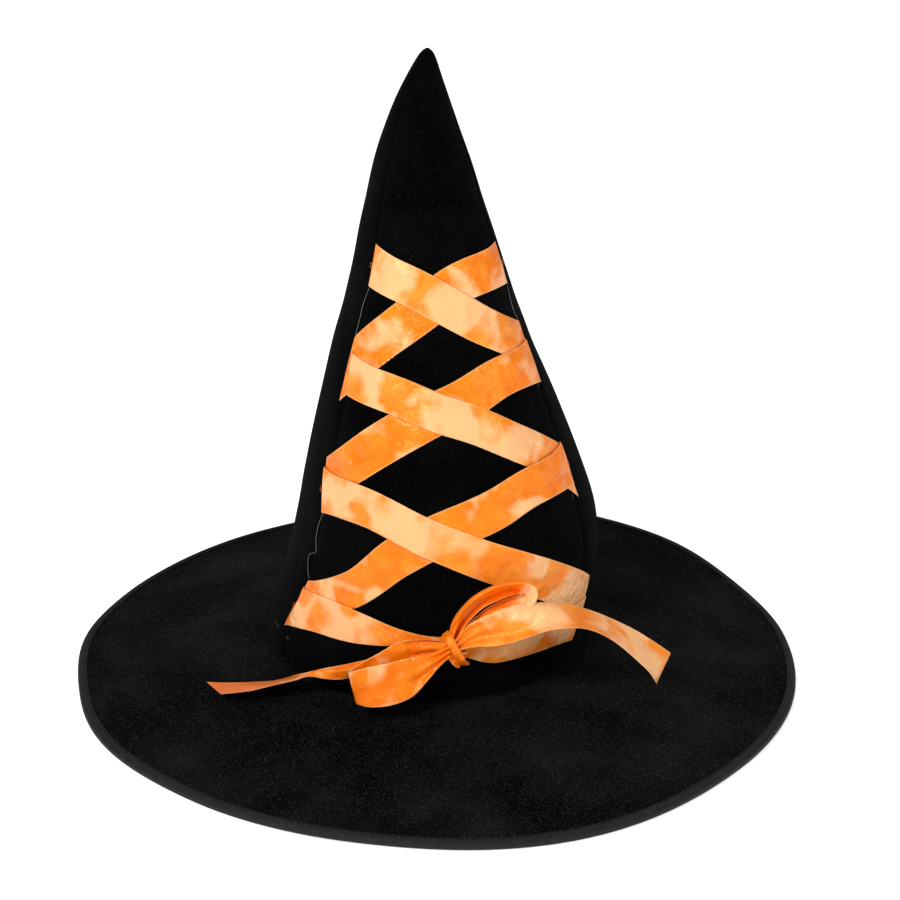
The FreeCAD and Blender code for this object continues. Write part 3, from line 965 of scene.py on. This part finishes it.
# name, node, body, where its bend at the knot ends, and rows: a middle point, half of the
# width as a vector, and how much of the spare width lies in one long fold and in gathers
bow_parts = (
    ("loop_left", "bow_left_loop", "left_loop", (-16, -103, 54), (
        (4, -102, 58, 0, 0.3, 3.0, 0, 0.8),
        (-8, -102.5, 55.5, -0.5, 0.5, 7.0, 0.2, 0.6),
        (-20, -103.5, 51.5, -0.5, 0.5, 10.3, 0.3, 0.2),
        (-32, -105.5, 45.0, 0, 0.5, 10.8, 0.2, 0),
        (-41, -108, 41.0, -1, 0.5, 10.0, 0, 0),
        (-46, -111, 38.8, -2, 0.8, 9.4, 0, 0),
        (-44, -113.5, 39.0, -2.6, 1.5, 9.5, 0, 0),
        (-37, -114.8, 40.3, -2.1, 3.2, 10.3, 0.2, 0),
        (-25, -114.5, 42.4, -0.8, 3.8, 10.8, 0.4, 0.1),
        (-15, -113, 45.5, -1.3, 3.6, 9.8, 0.5, 0.3),
        (-7, -110.5, 49.8, -1, 3.0, 6.5, 0.3, 0.6),
        (0, -107.5, 54.0, -0.5, 1.5, 4.0, 0.1, 0.8),
        (6, -104.5, 57.0, 0, 0.5, 3.0, 0, 0.8),
    )),
    ("loop_right", "bow_right_loop", "right_loop", (20, -98, 78), (
        (8, -99.5, 58, -1.6, 0.5, 2.6, 0.2, 0.8),
        (8.5, -99.5, 65, -2.2, 0.6, 3.0, 0.5, 0.7),
        (12.5, -98.5, 73, -2.9, 0.7, 2.8, 0.7, 0.4),
        (20.6, -97.2, 82.1, -3.1, 1.0, 2.8, 0.85, 0.2),
        (30.2, -96, 87.2, -2.4, 1.4, 3.4, 0.85, 0.1),
        (38.7, -95, 89.6, -1.0, 1.6, 3.2, 0.85, 0),
        (44.5, -94.2, 88.8, 0.6, 2.2, 2.0, 0.85, 0),
        (48.2, -94, 86.0, 2.6, 2.2, -1.5, 0.85, 0),
        (45.7, -94.8, 81.8, 3.6, 2.0, -3.0, 0.85, 0),
        (36.9, -96, 78, 3.4, 1.8, -3.2, 0.85, 0.1),
        (27.9, -97, 73.4, 2.3, 1.4, -3.8, 0.8, 0.3),
        (18, -98.5, 66.4, 1.6, 1.0, -3.6, 0.5, 0.6),
        (10.8, -99.5, 59.5, 1.4, 0.8, -3.0, 0.2, 0.8),
    )),
    ("tail_left", "bow_left_tail", "left_tail", (-16, -98, 51), (
        (3, -100.5, 57.5, 0, 0.5, 2.8, 0, 0.8),
        (-18.5, -98, 51, 0, 0.4, 3.0, 0.3, 0.8),
        (-31.5, -96.2, 45.6, 0, 1.0, 3.1, 0.75, 0.4),
        (-49.3, -91.5, 38.5, 0.2, 3.5, 3.0, 0.85, 0.1),
        (-61.7, -88, 34.8, -1.0, 6.0, 0.6, 0.8, 0),
        (-70.6, -86, 32.3, -0.6, 8.0, -2.4, 0.6, 0),
        (-77.5, -84.5, 29.6, -0.6, 9.6, -3.7, 0.3, 0),
        (-89.5, -83, 25.8, -0.8, 10.2, -4.2, 0, 0),
        (-103, -81.5, 22.6, -0.9, 10.7, -3.2, 0, 0),
        (-114.5, -80.5, 21, -1.8, 10.7, -2.8, 0, 0),
        (-123.7, -80, 20.6, -5, 10.0, -1.7, 0, 0),
    )),
    ("tail_right", "bow_right_tail", "right_tail", (28, -103, 68), (
        (10, -102, 58.5, -1.3, 1.0, 2.5, 0, 0.8),
        (18.5, -103, 65.5, -1.1, 3.0, 5.6, 0.3, 0.7),
        (30, -102.5, 69, 0, 4.0, 8.4, 0.5, 0.5),
        (40, -103, 72.4, 0.1, 6.0, 8.0, 0.6, 0.3),
        (49.5, -102.5, 75, 0.1, 8.0, 6.0, 0.6, 0.1),
        (60, -101.5, 76.5, -0.5, 9.8, 3.0, 0.5, 0),
        (71.5, -99, 75, -0.7, 10.8, 1.5, 0.3, 0),
        (81, -96, 71, -0.5, 11.0, 0.5, 0, 0),
        (90, -93, 65.5, 0, 11.0, 0.8, 0, 0),
        (98.5, -90.5, 59, 0.3, 10.6, 2.0, 0, 0),
        (107.5, -87.5, 51, 0.8, 10.0, 3.6, 0, 0),
        (116, -85, 42.5, 2.0, 9.5, 4.5, 0, 0),
        (123, -82, 34, 4.5, 8.5, 5.0, 0, 0),
    )),
)


def swept(rows, seed):
    """A function that lays a loose ribbon along its rows, with its spare width in folds."""
    def place(share, across):
        x, y, z, side_x, side_y, side_z, fold, gather = spline(rows, share)
        ahead = spline(rows, min(share + 0.004, 1.0))
        behind = spline(rows, max(share - 0.004, 0.0))
        half = Vector((side_x, side_y, side_z))
        run = Vector(ahead[:3]) - Vector(behind[:3])
        normal = run.cross(half).normalized()
        spare = math.sqrt(max(ribbon_width**2 / 4 - half.length_squared, 0.0)) * math.pi / 2
        wander = 0.5 * math.sin(7 * share + seed)
        folded = fold * math.sin(3.0 * across + wander) / 3.0
        gathered = gather * math.cos(7.5 * across + wander) / 7.5
        deep = spare * (folded + gathered)
        at = Vector((share * 90, across * 11, seed * 37))
        deep += 0.4 * noise.noise(at / 12) * ease(share * 8) * ease((1 - share) * 8)
        return Vector((x, y, z)) + half * across + normal * deep

    return place


knot = (9, -98, 54)
for k, (name, node, body, bends_to, rows) in enumerate(bow_parts):
    place = swept(rows, k + 1)
    length = centre_length(place)
    piece = ribbon(name, length, ribbon_width, place, step=1.3)
    # The right tail takes the paler copy with painted highlights, the rest of the bow the deeper copy
    # with less
    piece.data.materials.append(highlight_painted_satin if name == "tail_right" else bow_satin)
    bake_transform(piece)
    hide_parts(node)


# ---- Knot -------------------------------------------------------------------------------
# The ribbons cross and wrap round each other in a small hard knot. One wrap shows in front,
# from the upper left to the lower right, over a second one and a lumpy middle.
knot_size = (5.6, 4.2, 6.6)
bpy.ops.object.select_all(action="DESELECT")
bpy.ops.mesh.primitive_uv_sphere_add(segments=48, ring_count=32, radius=1)
knot_middle = bpy.context.object
name_piece(knot_middle, "tied_knot")
for vertex in knot_middle.data.vertices:
    way = vertex.co.copy()
    crease = 1 + 0.10 * math.sin(9 * way.x + 6 * way.z) + 0.12 * noise.noise(way * 1.7)
    size = Vector(knot_size) * crease
    vertex.co = (Vector(knot) + Vector((way.x * size.x, way.y * size.y, way.z * size.z))) * mm
bpy.ops.object.shade_smooth()
knot_middle.data.materials.append(bow_satin)
wraps = (
    ((2.5, -97, 63, 3.0, 0.6, 1.8, 0.1, 0.15), (4.4, -101.8, 62.0, 3.2, 0, 2.0, 0.15, 0.12),
     (6.6, -104.2, 58.4, 3.5, 0, 2.1, 0.2, 0.1), (9.0, -105.2, 54, 3.5, 0, 2.0, 0.25, 0.08),
     (11.4, -104.4, 49.8, 3.3, 0, 1.8, 0.25, 0.1), (13.4, -101, 46.2, 2.8, 0.4, 1.5, 0.15, 0.15),
     (13.8, -96.5, 45.4, 2.5, 0.6, 1.3, 0.1, 0.2)),
    ((1.5, -97.5, 57.5, 0.4, 0.3, 3.0, 0.1, 0.2), (4.5, -102.2, 56.6, 0.9, 0, 3.2, 0.15, 0.12),
     (9.0, -103.8, 53.6, 1.2, 0, 3.2, 0.2, 0.1), (13.6, -102.4, 52.4, 0.8, 0, 3.0, 0.15, 0.12),
     (16.0, -97.6, 54.0, 0.4, 0.3, 2.6, 0.1, 0.2)),
    ((-15, -101.5, 54.0, 0, 0.3, 1.4, 0.1, 0.3), (-9, -105.0, 56.4, 0.2, 0.5, 3.6, 0.3, 0.1),
     (-1, -106.0, 58.4, 0.3, 0.6, 3.8, 0.35, 0.05), (5.5, -102.0, 57.6, 0.2, 0.4, 2.6, 0.1, 0.3)),
)
strips = []
for k, rows in enumerate(wraps):
    place = swept(rows, k + 6)
    strip = ribbon("wrap", centre_length(place), ribbon_width, place, step=0.9)
    strip.data.materials.append(bow_satin)
    strips.append(strip)
pick(knot_middle)
for strip in strips:
    strip.select_set(True)
bpy.ops.object.join()
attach(knot_middle, "hat")
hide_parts("bow_knot")


# ---- Threads and stitches ---------------------------------------------------------------
# Black lockstitch round the binding and in the brim and side seams, orange tacks that hold
# the ribbons' folds, and clear nylon that runs loose down the side seams from tack to tack.
stitch_pitch = 3.0
stitch_length = 2.1


def thread(name, runs, radius, colour, rough):
    """Round threads through rows of points in millimetres, as one piece."""
    bpy.ops.object.select_all(action="DESELECT")
    bpy.ops.curve.primitive_bezier_curve_add()
    piece = bpy.context.object
    piece.name = name
    piece.data.splines.clear()
    for run in runs:
        line = piece.data.splines.new("POLY")
        line.points.add(len(run) - 1)
        for point, at in zip(line.points, run):
            point.co = (at.x * mm, at.y * mm, at.z * mm, 1)
    piece.data.dimensions = "3D"
    piece.data.bevel_depth = radius * mm
    piece.data.bevel_resolution = 1
    piece.data.use_fill_caps = True
    bpy.ops.object.convert(target="MESH")
    piece = bpy.context.object
    piece.data.name = name
    bpy.ops.object.shade_smooth()
    piece.data.materials.append(new_material(name, {
        "Base Color": colour,
        "Roughness": rough,
        "Specular IOR Level": 0.05,
    }))
    return piece


def ring_stitches(radius, middle, height, sag):
    """Short stitches in a circle, that dip into the cloth at both ends."""
    runs = []
    count = round(2 * math.pi * radius / stitch_pitch)
    for k in range(count):
        run = []
        for part in (-0.5, -0.25, 0.25, 0.5):
            turn = 2 * math.pi * k / count + part * stitch_length / radius
            dip = sag if abs(part) > 0.3 else 0.0
            at = Vector((middle + radius * math.sin(turn), -radius * math.cos(turn), height - dip))
            run.append(wave(at))
        runs.append(run)
    return runs


def down_seam(points, lift):
    """A thread through (angle, height) points, that stands a little off the crown."""
    run = []
    for k in range(17):
        angle, height = spline(points, k / 16)
        run.append(crown_point(angle, height, lift * (1 + math.sin(math.pi * k / 16))))
    return run


def tack_marks(places):
    """Three short stitches side by side at each place."""
    runs = []
    for angle, height in places:
        for offset in (-1.1, 0.0, 1.1):
            runs.append([
                crown_point(angle - 1.2, height + offset, 1.5),
                crown_point(angle, height + offset + 0.2, 2.1),
                crown_point(angle + 1.2, height + offset, 1.5),
            ])
    return runs


black = (0.0010, 0.0010, 0.0010, 1)
clear = (0.30, 0.30, 0.30, 1)
orange = (0.75, 0.16, 0.02, 1)
left_floats = (
    down_seam(((-46.6, 236), (-49.5, 226), (-50, 218), (-51.8, 209)), 0.3),
    down_seam(((-50, 177), (-53, 166), (-54, 152), (-58, 141.5)), -0.6),
    down_seam((
        (-55, 111), (-57.5, 104), (-58, 95), (-56.5, 88), (-60.5, 84), (-60, 77), (-58, 71.5),
    ), 0.3),
)
right_floats = (
    down_seam(((74.4, 231), (71.5, 225), (70.5, 219), (72.8, 212.5)), 0.3),
    down_seam(((69.2, 177.5), (66, 166), (65, 155), (64, 145.5)), -0.6),
    down_seam(((66, 120.5), (64, 105), (64, 86), (65, 67.5)), -0.6),
)
edge_thread = ring_stitches(brim_radius - 4.0, 0, 5.42, 0.35)
seam_thread = []
for plain in (left_seam_angle, right_seam_angle):
    run = []
    for k in range(121):
        height = seam_height + crown_height * (0.01 + 0.97 * k / 120)
        turn = plain + seam_turn * (height - seam_height) / crown_height
        run.append(crown_point(turn, height, -0.95))
    seam_thread.append(run)
seam_thread += ring_stitches(band_radius + 0.75, crown_middle, seam_height + 1.0, 0.2)
left_marks = tack_marks(((-46.5, 247), (-52, 189), (-57.5, 123), (-61, 53)))
right_marks = tack_marks(((75, 243), (69.5, 190), (66, 133), (63, 45)))
for name, node, runs, radius, colour, rough, slot in (
    ("binding_thread", "binding_stitching", edge_thread, 0.16, black, 0.6, "black_thread"),
    ("seam_thread", "seam_stitching", seam_thread, 0.35, black, 0.8, "black_thread"),
    ("tacks_left", "left_tacks", left_marks, 0.15, orange, 0.5, "orange_thread"),
    ("tacks_right", "right_tacks", right_marks, 0.15, orange, 0.5, "orange_thread"),
    ("floats_left", "left_tack_thread", left_floats, 0.085, clear, 0.35, "clear_thread"),
    ("floats_right", "right_tack_thread", right_floats, 0.085, clear, 0.35, "clear_thread"),
):
    piece = thread(name, runs, radius, colour, rough)
    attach(piece, "hat")
    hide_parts(node)
